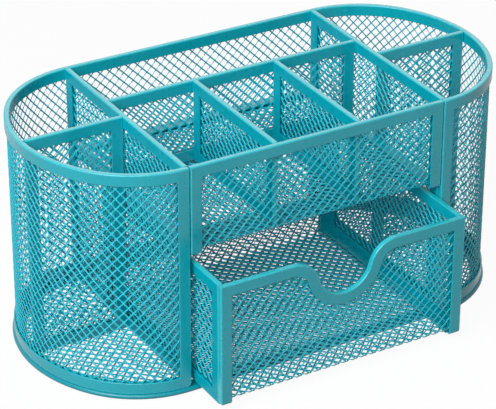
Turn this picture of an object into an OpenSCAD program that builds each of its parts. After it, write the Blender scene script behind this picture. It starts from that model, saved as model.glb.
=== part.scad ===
// Pen stand with drawer: an oval mesh body with two split half-round ends, a back slot,
// three trays and a full-depth drawer under them. Millimetres. +Z is up and the drawer
// opens towards -Y. The origin is on the table, under the middle of the whole part with its
// drawer open as photographed.

/* [Body] */
// Depth over the rim, front to back
body_d = 109; // [98:1:125]
// Height of the rim above the table
body_h = 104; // [92:1:125]
// Distance between the middles of the two cross walls
bay_w = 122.6; // [105:0.2:150]
// How far each rounded end reaches past its cross wall
end_reach = 48; // [42:0.5:54]
// How far the bow of each rounded end reaches past its two corner arcs
end_bow = 3; // [2.5:0.5:8]
// Radius of the wall's bottom corners at its two front ends
wall_corner_r = 2; // [0.5:0.5:2]
// Gap between a front post and the tray front
post_gap = 0.4; // [0.2:0.1:0.8]

/* [Strips and mesh] */
// Thickness of a folded edge strip
strip_t = 2.4; // [1.8:0.1:3]
// Width of a folded edge strip
strip_w = 5.2; // [4:0.1:8]
// How deep a mesh sheet goes into a strip
bite = 3; // [1.5:0.1:3.4]
// Clearance between a mesh sheet and the slot of its strip
slot_clear = 0.1; // [0.05:0.05:0.2]
// Thickness of a mesh sheet
sheet_t = 0.8; // [0.5:0.1:1]
// Width of one diamond of the mesh
mesh_pitch = 13.5; // [9:0.5:27]
// Width of the strands between the diamonds
strand_w = 1.6; // [1:0.1:2.4]
// Outer radius where a mesh sheet bends
bend_r = 2; // [1.6:0.1:4]

/* [Base] */
// Thickness of the base ring
base_t = 2.3; // [1.8:0.1:4]
// How far the base ring sticks out past the wall
base_lip = 0.8; // [0.3:0.1:2]
// Clearance round the edge of the base mesh
base_clear = 0.3; // [0.2:0.1:0.6]

/* [Dividers] */
// Y of the divider between the back slot and the trays
slot_divider_y = 15.9; // [5:0.1:30]
// Y of the divider in each rounded end
pocket_divider_y = 0; // [-8:0.5:8]
// Distance between the middles of the two tray dividers
tray_divider_gap = 39.5; // [30:0.5:50]
// Height of the trays, from the underside of the shelf to the rim
tray_h = 40.2; // [32:0.2:50]
// Clearance between a pocket divider and the curved wall
wall_clear = 0.3; // [0.2:0.1:0.6]

/* [Drawer] */
// Clearance on each side of the drawer
drawer_side_clear = 1.5; // [0.6:0.1:3]
// Clearance under the drawer
drawer_under_clear = 0.5; // [0.3:0.1:1]
// Gap above the drawer, under the shelf
drawer_top_clear = 3.9; // [2:0.1:8]
// Gap behind the closed drawer
drawer_back_clear = 2.6; // [0.3:0.1:6]
// Width of the two strips along the drawer floor
floor_strip_w = 3.6; // [3:0.1:5.2]
// How far the drawer stands out of the body
drawer_out = 21.3; // [1:0.1:60]
// Width of the finger notch at the top edge
notch_w = 49.2; // [36:0.2:70]
// Depth of the finger notch
notch_d = 19.3; // [12:0.1:22]
// Radius of the two bottom corners of the drawer front
drawer_corner_r = 1.5; // [0.5:0.5:3]

/* [Hidden] */
$fn = 96;

coat = [0.05, 0.42, 0.48];
far = 400;
seam = 0.02;

// Plan of the body: each rounded end is a bow between two corner arcs that it meets smoothly.
half_d = body_d / 2;
half_bay = bay_w / 2;
end_corner_r = end_reach - end_bow;
corner_y = half_d - end_corner_r;

// The body stands this far back, so that the origin is under the middle of body and drawer
body_y = (drawer_out - base_lip) / 2;
bow_r = (end_reach^2 + corner_y^2 - end_corner_r^2) / (2 * end_bow);
bow_x = end_reach - bow_r;
bow_a = atan2(corner_y, -bow_x);

// Slots that hold the mesh sheets
slot_t = sheet_t + 2 * slot_clear;
slot_d = bite + slot_clear;
skin = (strip_t - sheet_t) / 2;

// Solid edge of the wall sheet where its three lengths meet behind a cross wall
seam_w = strip_t / 2;

// Heights of the body
floor_z = base_t + sheet_t;
wall_h = body_h - base_t;
shelf_z = body_h - tray_h;
tray_z = shelf_z + strip_t;
front_z = shelf_z + skin;

// Faces of the bay between the cross walls
bay_x = half_bay - strip_t / 2;
post_x = bay_x + post_gap;
back_y = half_d - strip_t;
front_y = strip_t - half_d;

// Drawer, in place at its photographed opening
drawer_w = 2 * (bay_x - drawer_side_clear);
drawer_d = body_d - strip_t - drawer_back_clear;
drawer_z = floor_z + drawer_under_clear;
drawer_h = shelf_z - drawer_top_clear - drawer_z;
drawer_inner_d = drawer_d - 2 * strip_t;
drawer_y = -half_d - drawer_out;
side_x = drawer_w / 2 - strip_t;
notch_a = 2 * atan2(notch_d, notch_w / 2);
notch_r = notch_w / 4 / sin(notch_a);

// ---- plan shapes ----

function polar(r, a) = [r * cos(a), r * sin(a)];

// One rounded end, grown by o, with its flat side on the Y axis. The bow stands a seam's width
// proud of the corner arcs, so that their faces always meet in a clean edge.
module end_plan(o) {
    translate([bow_x, 0])
        intersection() {
            circle(r = bow_r + o + seam);
            polygon([[0, 0], polar(far, -bow_a), [far, 0], polar(far, bow_a)]);
        }
    for (s = [0, 1])
        mirror([0, s])
            translate([0, corner_y])
                intersection() {
                    circle(r = end_corner_r + o);
                    polygon([[0, -corner_y], polar(far, bow_a - 3), [far, far], [0, far]]);
                }
}

// The whole oval, grown by o
module plan(o) {
    square([bay_w, body_d + 2 * o], center = true);
    for (s = [0, 1])
        mirror([s, 0])
            translate([half_bay, 0])
                end_plan(o);
}

// A band that follows the wall, from o_in to o_out, all the way round
module ring(o_out, o_in) {
    difference() {
        plan(o_out);
        plan(o_in);
    }
}

// The same band, open at the front between the posts
module wall_ring(o_out, o_in) {
    difference() {
        ring(o_out, o_in);
        translate([-post_x, -far])
            square([2 * post_x, far]);
    }
}

// Slot for the wall sheet in the strips; it stops inside the posts
module wall_slot() {
    x = post_x + strip_w - slot_d;
    difference() {
        ring(slot_clear - skin, skin - strip_t - slot_clear);
        translate([-x, -far])
            square([2 * x, far]);
    }
}

// What a corner at the origin, rounded to radius r, takes away
module corner_cut(r) {
    difference() {
        translate([-1, -1])
            square(r + 1);
        translate([r, r])
            circle(r = r);
    }
}

// ---- diamonds ----

// Half sizes of a hole in a lattice of cells w by h, one strand narrower than the cell
function hole_half(w, h) = [w, h] / 2 * (1 - strand_w * norm([w, h]) / (w * h));

// A diamond at c, cut straight where it meets an edge of the area
function diamond(c, r, lo_x, hi_x, lo_y, hi_y) = concat(
    lo_x ? [] : [c - [r[0], 0]],
    hi_y ? [] : [c + [0, r[1]]],
    hi_x ? [] : [c + [r[0], 0]],
    lo_y ? [] : [c - [0, r[1]]],
    (lo_x || hi_x) && (lo_y || hi_y) ? [c] : []);

// How many whole cells fit a length
function cells(l) = max(1, round(l / mesh_pitch));

// Lattice of holes that fills an area w by h from the origin
module diamonds(w, h) {
    nx = cells(w);
    ny = cells(h);
    px = w / nx;
    py = h / ny;
    r = hole_half(px, py);
    for (i = [0 : 2 * nx], j = [0 : 2 * ny])
        if ((i + j) % 2 == 0)
            polygon(diamond([i * px / 2, j * py / 2], r, i == 0, i == 2 * nx, j == 0, j == 2 * ny));
}

// ---- flat panels, drawn in X and Y from the origin and strip_t thick ----

// Strip round a panel w by h, with a slot for the sheet; the side at y = 0 can be left open
module frame_solid(w, h, bottom = true) {
    y0 = bottom ? strip_w : -slot_d;
    difference() {
        linear_extrude(strip_t)
            difference() {
                square([w, h]);
                translate([strip_w, y0])
                    square([w - 2 * strip_w, h - strip_w - y0]);
            }
        translate([strip_w - slot_d, y0 - slot_d, (strip_t - slot_t) / 2])
            cube([w - 2 * strip_w + 2 * slot_d, h - strip_w - y0 + 2 * slot_d, slot_t]);
    }
}

// Mesh sheet of a panel w by h with strips on all four sides
module sheet_solid(w, h) {
    translate([0, 0, skin])
        linear_extrude(sheet_t)
            difference() {
                translate([strip_w - bite, strip_w - bite])
                    square([w - 2 * strip_w + 2 * bite, h - 2 * strip_w + 2 * bite]);
                translate([strip_w, strip_w])
                    diamonds(w - 2 * strip_w, h - 2 * strip_w);
            }
}

// Stands a panel up across X: its width runs along +Y and its thickness along +X
module across_x(x, y, z) {
    translate([x, y, z])
        rotate([90, 0, 90])
            children();
}

// Stands a panel up across Y: its width runs along +X and its thickness along +Y
module across_y(x, y, z) {
    translate([x, y + strip_t, z])
        rotate([90, 0, 0])
            children();
}

// Quarter bend between an upright sheet and a level one, w long in X, outer corner at the origin
module bend(w) {
    rotate([90, 0, 90])
        linear_extrude(w)
            intersection() {
                translate([bend_r, bend_r])
                    difference() {
                        circle(r = bend_r);
                        circle(r = bend_r - sheet_t);
                    }
                square([bend_r, bend_r]);
            }
}

// ---- base ----

module base_ring() {
    color(coat)
        translate([0, body_y, 0])
            linear_extrude(base_t)
                ring(base_lip, -strip_w);
}

// Outline of the plan grown by o, as points close enough together for a hidden edge
function outline(o) =
    let (n = 40, right = [for (i = [0 : n]) end_point(i / n * end_len, o)])
    concat(right, [for (i = [n : -1 : 0]) [-right[i][0], right[i][1]]]);

module base_mesh() {
    w = bay_w + 2 * (end_reach - strip_w);
    h = body_d - 2 * strip_w;
    color(coat)
        translate([0, body_y, base_t])
            linear_extrude(sheet_t)
                difference() {
                    polygon(outline(-strip_t - base_clear));
                    intersection() {
                        translate([-w / 2, -h / 2])
                            diamonds(w, h);
                        polygon(outline(-strip_w));
                    }
                }
}

// ---- outer wall ----

// Folded strip that follows the wall, with the slot for its sheet at the top
module wall_strip() {
    difference() {
        linear_extrude(strip_w)
            wall_ring(0, -strip_t);
        translate([0, 0, strip_w - slot_d])
            linear_extrude(strip_w)
                wall_slot();
    }
}

module bottom_band() {
    color(coat)
        translate([0, body_y, base_t])
            difference() {
                wall_strip();
                for (s = [0, 1])
                    mirror([s, 0, 0])
                        translate([post_x, -corner_y, 0])
                            rotate([90, 0, 0])
                                linear_extrude(far)
                                    corner_cut(wall_corner_r);
            }
}

// The part of the strip on the wall's top edge whose plan lies inside the children
module rim_strip() {
    color(coat)
        translate([0, body_y, body_h])
            mirror([0, 0, 1])
                difference() {
                    linear_extrude(strip_w)
                        intersection() {
                            wall_ring(0, -strip_t);
                            children();
                        }
                    translate([0, 0, strip_w - slot_d])
                        linear_extrude(strip_w)
                            wall_slot();
                }
}

module top_rim_back() {
    rim_strip()
        translate([-half_bay, 0])
            square([bay_w, far]);
}

module top_rim_right() {
    rim_strip()
        difference() {
            translate([0, -far])
                square([far, 2 * far]);
            square([half_bay, far]);
        }
}

module top_rim_left() {
    mirror([1, 0, 0])
        top_rim_right();
}

// Upright strip that closes the wall's front edge at the right
module front_post() {
    z0 = base_t + strip_w;
    h = wall_h - 2 * strip_w;
    color(coat)
        translate([0, body_y, 0])
            difference() {
                translate([0, 0, z0])
                    linear_extrude(h)
                        intersection() {
                            ring(0, -strip_t);
                            translate([post_x, -far])
                                square([strip_w, far]);
                        }
                translate([0, 0, z0 - 1])
                    linear_extrude(h + 2)
                        intersection() {
                            wall_slot();
                            translate([0, -far])
                                square([far, far]);
                        }
            }
}

module right_front_post() {
    front_post();
}

module left_front_post() {
    mirror([1, 0, 0])
        front_post();
}

// Length of one corner arc and of the bow, and the place of a point along the rounded end
corner_len = end_corner_r * (90 - bow_a) * PI / 180;
bow_len = bow_r * 2 * bow_a * PI / 180;
end_len = 2 * corner_len + bow_len;

function end_centre(s) =
    s < corner_len ? [0, -corner_y] :
    s > corner_len + bow_len ? [0, corner_y] : [bow_x, 0];

function end_point(s, o) =
    [half_bay, 0] + end_centre(s) + polar(end_radius(s) + o, end_angle(s));

function end_radius(s) = s < corner_len || s > corner_len + bow_len ? end_corner_r : bow_r;

function end_angle(s) =
    s < corner_len ? s / end_corner_r * 180 / PI - 90 :
    s > corner_len + bow_len ? 90 - (end_len - s) / end_corner_r * 180 / PI :
    (s - corner_len - bow_len / 2) / bow_r * 180 / PI;

// Front or back half of the right rounded end's mesh, with its holes square to the curve
module end_mesh(back) {
    z0 = base_t + strip_w;
    h = wall_h - 2 * strip_w;
    post_s = asin((post_x + strip_w - half_bay) / end_corner_r) * PI / 180 * end_corner_r;
    s0 = back ? end_len / 2 + seam_w : post_s;
    s1 = back ? end_len - seam_w : end_len / 2 - seam_w;
    nz = cells(h);
    ns = cells(s1 - s0);
    pz = h / nz;
    ps = (s1 - s0) / ns;
    r = hole_half(ps, pz);
    color(coat)
        translate([0, body_y, 0])
            difference() {
                translate([0, 0, z0 - bite])
                    linear_extrude(h + 2 * bite)
                        difference() {
                            ring(-skin, skin - strip_t);
                            translate([-far, -far])
                                square([far + half_bay, 2 * far]);
                            translate([0, -far])
                                square([post_x + strip_w - bite, far]);
                            translate([0, back ? -far : 0])
                                square([far, far]);
                        }
                for (i = [0 : 2 * ns], j = [0 : 2 * nz])
                    if ((i + j) % 2 == 0) {
                        s = s0 + i * ps / 2;
                        translate([half_bay + end_centre(s)[0], end_centre(s)[1], z0 + j * pz / 2])
                            rotate([0, 0, end_angle(s)])
                                translate([end_radius(s) - strip_t - 1, 0, 0])
                                    rotate([90, 0, 90])
                                        linear_extrude(strip_t + 2)
                                            polygon(diamond([0, 0], r, i == 0, i == 2 * ns,
                                                j == 0, j == 2 * nz));
                    }
            }
}

module right_end_front_mesh() {
    end_mesh(false);
}

module right_end_back_mesh() {
    end_mesh(true);
}

module left_end_front_mesh() {
    mirror([1, 0, 0])
        end_mesh(false);
}

module left_end_back_mesh() {
    mirror([1, 0, 0])
        end_mesh(true);
}

module back_wall_mesh() {
    z0 = base_t + strip_w;
    h = wall_h - 2 * strip_w;
    color(coat)
        translate([0, body_y, 0])
            translate([-half_bay, half_d - skin, z0])
                rotate([90, 0, 0])
                    linear_extrude(sheet_t)
                        difference() {
                            translate([0, -bite])
                                square([bay_w, h + 2 * bite]);
                            translate([seam_w, 0])
                                diamonds(bay_w - 2 * seam_w, h);
                        }
}

// ---- cross walls and dividers ----

module cross_frame(x) {
    color(coat)
        translate([0, body_y, 0])
            across_x(x - strip_t / 2, front_y, floor_z)
                frame_solid(back_y - front_y, body_h - floor_z);
}

module cross_mesh(x) {
    color(coat)
        translate([0, body_y, 0])
            across_x(x - strip_t / 2, front_y, floor_z)
                sheet_solid(back_y - front_y, body_h - floor_z);
}

module left_cross_frame() {
    cross_frame(-half_bay);
}

module left_cross_mesh() {
    cross_mesh(-half_bay);
}

module right_cross_frame() {
    cross_frame(half_bay);
}

module right_cross_mesh() {
    cross_mesh(half_bay);
}

pocket_x = half_bay + strip_t / 2;

// Reach of the wall's inner face at height y of the plan
function wall_reach(y) =
    let (a = asin(abs(y) / (bow_r - strip_t)))
    a < bow_a ? bow_x + (bow_r - strip_t) * cos(a) :
    sqrt((end_corner_r - strip_t)^2 - (abs(y) - corner_y)^2);

pocket_w = half_bay + wall_reach(abs(pocket_divider_y) + strip_t / 2) - wall_clear - pocket_x;

module pocket_frame() {
    color(coat)
        translate([0, body_y, 0])
            across_y(pocket_x, pocket_divider_y - strip_t / 2, floor_z)
                frame_solid(pocket_w, body_h - floor_z);
}

module pocket_mesh() {
    color(coat)
        translate([0, body_y, 0])
            across_y(pocket_x, pocket_divider_y - strip_t / 2, floor_z)
                sheet_solid(pocket_w, body_h - floor_z);
}

module right_pocket_frame() {
    pocket_frame();
}

module right_pocket_mesh() {
    pocket_mesh();
}

module left_pocket_frame() {
    mirror([1, 0, 0])
        pocket_frame();
}

module left_pocket_mesh() {
    mirror([1, 0, 0])
        pocket_mesh();
}

module slot_divider_frame() {
    color(coat)
        translate([0, body_y, 0])
            across_y(-bay_x, slot_divider_y - strip_t / 2, tray_z)
                frame_solid(2 * bay_x, body_h - tray_z);
}

module slot_divider_mesh() {
    color(coat)
        translate([0, body_y, 0])
            across_y(-bay_x, slot_divider_y - strip_t / 2, tray_z)
                sheet_solid(2 * bay_x, body_h - tray_z);
}

tray_d = slot_divider_y - strip_t / 2 - front_y;

module tray_divider_frame(x) {
    color(coat)
        translate([0, body_y, 0])
            across_x(x - strip_t / 2, front_y, tray_z)
                frame_solid(tray_d, body_h - tray_z);
}

module tray_divider_mesh(x) {
    color(coat)
        translate([0, body_y, 0])
            across_x(x - strip_t / 2, front_y, tray_z)
                sheet_solid(tray_d, body_h - tray_z);
}

module tray_divider_1_frame() {
    tray_divider_frame(-tray_divider_gap / 2);
}

module tray_divider_1_mesh() {
    tray_divider_mesh(-tray_divider_gap / 2);
}

module tray_divider_2_frame() {
    tray_divider_frame(tray_divider_gap / 2);
}

module tray_divider_2_mesh() {
    tray_divider_mesh(tray_divider_gap / 2);
}

// ---- tray front and shelf ----

module tray_front_frame() {
    color(coat)
        translate([0, body_y, 0])
            across_y(-bay_x, -half_d, shelf_z)
                frame_solid(2 * bay_x, body_h - shelf_z, bottom = false);
}

// The sheet between the two side strips, down to where it bends
module front_sheet(w, h) {
    translate([0, 0, skin])
        linear_extrude(sheet_t)
            difference() {
                translate([strip_w - bite, skin + bend_r])
                    square([w - 2 * strip_w + 2 * bite, h - strip_w + bite - skin - bend_r]);
                translate([strip_w, skin + bend_r + strand_w])
                    diamonds(w - 2 * strip_w, h - strip_w - skin - bend_r - strand_w);
            }
}

module tray_front_mesh() {
    color(coat)
        translate([0, body_y, 0]) {
            across_y(-bay_x, -half_d, shelf_z)
                front_sheet(2 * bay_x, body_h - shelf_z);
            translate([strip_w - bay_x, skin - half_d, front_z])
                bend(2 * (bay_x - strip_w));
        }
}

module shelf_frame() {
    color(coat)
        translate([0, body_y, 0])
            translate([-bay_x, front_y, shelf_z])
                frame_solid(2 * bay_x, back_y - front_y, bottom = false);
}

// Level sheet whose strips start at y = 0 and which itself starts where the bend ends
module floor_sheet(w, d, from) {
    start = max(from, 0);
    translate([0, 0, skin])
        linear_extrude(sheet_t)
            difference() {
                union() {
                    translate([strip_w, from])
                        square([w - 2 * strip_w, d / 2]);
                    translate([strip_w - bite, start])
                        square([w - 2 * strip_w + 2 * bite, d - strip_w + bite - start]);
                }
                translate([strip_w, start + strand_w])
                    diamonds(w - 2 * strip_w, d - strip_w - start - strand_w);
            }
}

module shelf_mesh() {
    color(coat)
        translate([0, body_y, 0])
            translate([-bay_x, front_y, shelf_z])
                floor_sheet(2 * bay_x, back_y - front_y, skin + bend_r - strip_t);
}

// ---- drawer ----

// Outline of the drawer front, its edge moved in by o at the top and the notch
module front_outline(o) {
    c = drawer_w / 2;
    difference() {
        square([drawer_w, drawer_h - o]);
        notch_outline(c, o);
        corner_cut(drawer_corner_r);
        translate([drawer_w, 0])
            mirror([1, 0])
                corner_cut(drawer_corner_r);
    }
}

// Finger notch: a bowl at the bottom with a rounded shoulder on each side
module notch_outline(c, o) {
    x = notch_w / 2;
    bowl = [c, drawer_h - notch_d + notch_r];
    turn = (notch_r + o) * [sin(notch_a), -cos(notch_a)];
    translate(bowl)
        circle(r = notch_r + o);
    difference() {
        polygon([bowl + turn, [c + x, drawer_h - notch_r], [c + x, drawer_h + 1],
            [c - x, drawer_h + 1], [c - x, drawer_h - notch_r], bowl + [-turn[0], turn[1]]]);
        for (s = [-1, 1])
            translate([c + s * x, drawer_h - notch_r])
                circle(r = notch_r - o);
    }
}

module drawer_front_frame() {
    color(coat)
        translate([0, body_y, 0])
            across_y(-drawer_w / 2, drawer_y, drawer_z)
                difference() {
                    linear_extrude(strip_t)
                        difference() {
                            front_outline(0);
                            intersection() {
                                front_outline(strip_w);
                                translate([strip_w, -1])
                                    square([drawer_w - 2 * strip_w, drawer_h + 2]);
                            }
                        }
                    translate([0, 0, (strip_t - slot_t) / 2])
                        linear_extrude(slot_t)
                            intersection() {
                                front_outline(strip_w - slot_d);
                                translate([strip_w - slot_d, -1])
                                    square([drawer_w - 2 * strip_w + 2 * slot_d, drawer_h + 2]);
                            }
                }
}

module drawer_front_mesh() {
    w = drawer_w - 2 * strip_w;
    low = skin + bend_r;
    color(coat)
        translate([0, body_y, 0]) {
            across_y(-drawer_w / 2, drawer_y, drawer_z)
                translate([0, 0, skin])
                    linear_extrude(sheet_t)
                        difference() {
                            intersection() {
                                front_outline(strip_w - bite);
                                translate([strip_w - bite, low])
                                    square([w + 2 * bite, drawer_h]);
                            }
                            intersection() {
                                translate([strip_w, low + strand_w])
                                    diamonds(w, drawer_h - strip_w - low - strand_w);
                                front_outline(strip_w);
                            }
                        }
            translate([strip_w - drawer_w / 2, drawer_y + skin, drawer_z + skin])
                bend(w);
        }
}

// Strip along the right side of the floor, with the slot for the sheet on its inner side
module drawer_floor_strip() {
    color(coat)
        translate([0, body_y, 0])
            translate([side_x - floor_strip_w, drawer_y + strip_t, drawer_z])
                difference() {
                    cube([floor_strip_w, drawer_inner_d, strip_t]);
                    translate([-1, -1, (strip_t - slot_t) / 2])
                        cube([1 + floor_strip_w - strip_w + slot_d, drawer_inner_d + 2, slot_t]);
                }
}

module drawer_floor_right_strip() {
    drawer_floor_strip();
}

module drawer_floor_left_strip() {
    mirror([1, 0, 0])
        drawer_floor_strip();
}

// Level sheet between the two bends, with its sides in the slots of the floor strips
module drawer_floor_mesh() {
    rim = strip_w - bite;
    from = skin + bend_r - strip_t;
    color(coat)
        translate([0, body_y, 0])
            translate([-side_x, drawer_y + strip_t, drawer_z + skin])
                linear_extrude(sheet_t)
                    difference() {
                        translate([rim, from])
                            square([2 * (side_x - rim), drawer_inner_d - 2 * from]);
                        translate([floor_strip_w, from + strand_w])
                            diamonds(2 * (side_x - floor_strip_w),
                                drawer_inner_d - 2 * (from + strand_w));
                    }
}

module drawer_side_frame(x) {
    color(coat)
        translate([0, body_y, 0])
            across_x(x, drawer_y + strip_t, drawer_z)
                frame_solid(drawer_d - strip_t, drawer_h);
}

module drawer_side_mesh(x) {
    color(coat)
        translate([0, body_y, 0])
            across_x(x, drawer_y + strip_t, drawer_z)
                sheet_solid(drawer_d - strip_t, drawer_h);
}

module drawer_left_frame() {
    drawer_side_frame(-drawer_w / 2);
}

module drawer_left_mesh() {
    drawer_side_mesh(-drawer_w / 2);
}

module drawer_right_frame() {
    drawer_side_frame(side_x);
}

module drawer_right_mesh() {
    drawer_side_mesh(side_x);
}

module drawer_back_frame() {
    color(coat)
        translate([0, body_y, 0])
            across_y(-side_x, drawer_y + drawer_d - strip_t, drawer_z)
                frame_solid(2 * side_x, drawer_h, bottom = false);
}

module drawer_back_mesh() {
    color(coat)
        translate([0, body_y, 0]) {
            across_y(-side_x, drawer_y + drawer_d - strip_t, drawer_z)
                front_sheet(2 * side_x, drawer_h);
            translate([strip_w - side_x, drawer_y + drawer_d - skin, drawer_z + skin])
                mirror([0, 1, 0])
                    bend(2 * (side_x - strip_w));
        }
}

base_ring();
base_mesh();
bottom_band();
left_end_front_mesh();
left_end_back_mesh();
back_wall_mesh();
right_end_back_mesh();
right_end_front_mesh();
top_rim_left();
top_rim_back();
top_rim_right();
left_front_post();
right_front_post();
left_cross_frame();
left_cross_mesh();
right_cross_frame();
right_cross_mesh();
left_pocket_frame();
left_pocket_mesh();
right_pocket_frame();
right_pocket_mesh();
slot_divider_frame();
slot_divider_mesh();
tray_divider_1_frame();
tray_divider_1_mesh();
tray_divider_2_frame();
tray_divider_2_mesh();
tray_front_frame();
tray_front_mesh();
shelf_frame();
shelf_mesh();
drawer_front_frame();
drawer_front_mesh();
drawer_floor_left_strip();
drawer_floor_right_strip();
drawer_floor_mesh();
drawer_left_frame();
drawer_left_mesh();
drawer_right_frame();
drawer_right_mesh();
drawer_back_frame();
drawer_back_mesh();
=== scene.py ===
"""Pen stand with drawer: the folded strips, the diamond sheets, the coat and the studio.

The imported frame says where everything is. Each sub-assembly is a class that builds its own
folded strips and diamond sheets over the plain solids of the frame, in millimetres, and hands
them over in metres.
"""

from __future__ import annotations

import logging
import math
import sys
from dataclasses import dataclass, field, replace
from enum import Enum
from typing import Callable, ClassVar, Protocol, Sequence

import bmesh
import bpy
import numpy as np
from mathutils import Matrix, Vector

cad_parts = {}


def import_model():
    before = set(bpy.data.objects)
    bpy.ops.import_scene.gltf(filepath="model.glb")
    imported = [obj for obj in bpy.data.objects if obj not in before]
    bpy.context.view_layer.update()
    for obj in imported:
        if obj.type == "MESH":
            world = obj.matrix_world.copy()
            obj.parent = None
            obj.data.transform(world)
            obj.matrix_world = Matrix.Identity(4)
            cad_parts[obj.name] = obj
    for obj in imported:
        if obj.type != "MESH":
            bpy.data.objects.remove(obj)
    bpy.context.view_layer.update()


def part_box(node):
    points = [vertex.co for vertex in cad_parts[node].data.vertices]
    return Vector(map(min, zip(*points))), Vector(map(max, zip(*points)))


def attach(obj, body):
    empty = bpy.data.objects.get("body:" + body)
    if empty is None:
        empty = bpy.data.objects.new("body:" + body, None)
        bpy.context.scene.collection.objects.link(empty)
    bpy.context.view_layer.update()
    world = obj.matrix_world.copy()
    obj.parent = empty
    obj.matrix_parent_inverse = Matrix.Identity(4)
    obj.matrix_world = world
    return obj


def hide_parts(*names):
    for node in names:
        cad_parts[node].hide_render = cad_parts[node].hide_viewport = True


LOG = logging.getLogger("pen_stand")
MM = 0.001
Pair = tuple[float, float]
Triple = tuple[float, float, float]
FAR = 1e4
QUARTER = math.pi / 2
STRIP_CREASE = 32.0


# ---- sizes ----


@dataclass(frozen=True)
class StripSizes:
    """Section of a folded edge strip, in millimetres.

    shoulder is the short flat next to each rounding that keeps the shading of the side flat,
    and mouth is how far the slot opens short of the inner edge.
    """

    thick: float = 2.4
    wide: float = 5.2
    slot: float = 1.0
    slot_deep: float = 4.3
    edge_round: float = 0.5
    lip_round: float = 0.32
    shoulder: float = 0.14
    mouth: float = 0.06


@dataclass(frozen=True)
class WireSizes:
    """Expanded sheet, in millimetres and degrees: one diamond across, and the flat strands.

    Each strand is a narrow ribbon that leans out of the sheet, so that its outer face looks
    up where lean is positive and down where it is negative. bond is how much wider the strands
    are where they join, and reach how far past a window a diamond's middle may lie.
    """

    across: float = 4.53
    ribbon: float = 0.58
    gauge: float = 0.30
    lean: float = 45.0
    bond: float = 0.08
    reach: float = 1.6


UPRIGHT_WIRE = WireSizes()
SIDE_WIRE = WireSizes(ribbon=0.70, lean=-48.0)
CROSSWAYS_WIRE = WireSizes(ribbon=0.82)
WALL_WIRE = WireSizes(ribbon=0.64)
LEVEL_WIRE = WireSizes(ribbon=0.72, lean=-50.0, reach=1.0)


class Body(Enum):
    """The two bodies of the frame that a piece can ride on."""

    STAND = "body"
    DRAWER = "drawer"


class Facing(Enum):
    """Which way a flat panel's thickness runs."""

    FRONT = "y"
    SIDE = "x"
    LEVEL = "z"


@dataclass(frozen=True)
class Room:
    """Space of a frame node at rest, in millimetres."""

    lo: Triple
    hi: Triple

    @classmethod
    def of(cls, node: str) -> "Room":
        """Reads the space of a node."""
        lo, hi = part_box(node)
        return cls(tuple(c / MM for c in lo), tuple(c / MM for c in hi))

    def middle(self, axis: int) -> float:
        """Middle of the space along an axis."""
        return (self.lo[axis] + self.hi[axis]) / 2

    def length(self, axis: int) -> float:
        """Length of the space along an axis."""
        return self.hi[axis] - self.lo[axis]


# ---- surfaces that strips and sheets are laid on ----


class Surface(Protocol):
    """Maps points (u, v, b) of a laid-out part to millimetres in the frame."""

    def lay(self, uvb: np.ndarray) -> np.ndarray:
        """Places rows of distance along, distance up and height over the sheet's middle."""


@dataclass(frozen=True)
class FlatSurface:
    """A flat panel."""

    origin: Triple
    along: Triple
    up: Triple
    out: Triple

    @classmethod
    def in_room(cls, room: Room, facing: Facing) -> "FlatSurface":
        """Puts a panel in the middle of the thickness of its room.

        Args:
            room: space of the panel.
            facing: which way its thickness runs.

        Returns:
            The surface, with its origin in the low corner of the panel.
        """
        if facing is Facing.FRONT:
            origin = (room.lo[0], room.middle(1), room.lo[2])
            return cls(origin, (1, 0, 0), (0, 0, 1), (0, -1, 0))
        if facing is Facing.SIDE:
            origin = (room.middle(0), room.lo[1], room.lo[2])
            return cls(origin, (0, 1, 0), (0, 0, 1), (1, 0, 0))
        origin = (room.lo[0], room.lo[1], room.middle(2))
        return cls(origin, (1, 0, 0), (0, 1, 0), (0, 0, 1))

    def lay(self, uvb: np.ndarray) -> np.ndarray:
        """Places points on the flat panel."""
        axes = np.array([self.along, self.up, self.out], float)
        return np.array(self.origin, float) + uvb @ axes


@dataclass(frozen=True)
class BentSurface:
    """An upright sheet that turns under at its foot, runs back level and may rise again.

    v is the height in the upright front; under the bend it goes on down along the sheet.
    """

    front_y: float
    level_z: float
    bend: float
    back_y: float = FAR

    @property
    def bend_top(self) -> float:
        """Height at which a bend starts."""
        return self.level_z + self.bend

    @property
    def bend_end(self) -> float:
        """Value of v at which the front bend is over."""
        return self.bend_top - self.bend * QUARTER

    @property
    def level_end(self) -> float:
        """Value of v at which the back bend starts."""
        return self.bend_end - (self.back_y - self.front_y - 2 * self.bend)

    def back(self, y: float) -> float:
        """Value of v at a y of the level part."""
        return self.bend_end - (y - self.front_y - self.bend)

    def risen(self, z: float) -> float:
        """Value of v at a height of the upright back."""
        return self.level_end - self.bend * QUARTER - (z - self.bend_top)

    def lay(self, uvb: np.ndarray) -> np.ndarray:
        """Places points on the bent sheet."""
        u, v, b = uvb.T
        first = np.clip((self.bend_top - v) / self.bend, 0, QUARTER)
        level = np.clip(self.bend_end - v, 0, self.bend_end - self.level_end)
        second = np.clip((self.level_end - v) / self.bend, 0, QUARTER)
        rise = np.maximum(self.level_end - self.bend * QUARTER - v, 0)
        y = self.front_y + self.bend * (1 - np.cos(first) + np.sin(second)) + level
        z = self.bend_top + self.bend * (1 - np.cos(second) - np.sin(first)) + rise
        z = z + np.maximum(v - self.bend_top, 0)
        turn = first + second
        return np.stack([u, y - b * np.cos(turn), z - b * np.sin(turn)], axis=1)


@dataclass(frozen=True)
class Leg:
    """One straight or round length of the wall's plan."""

    length: float
    start: Pair
    turn: float
    radius: float = 0.0


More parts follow.
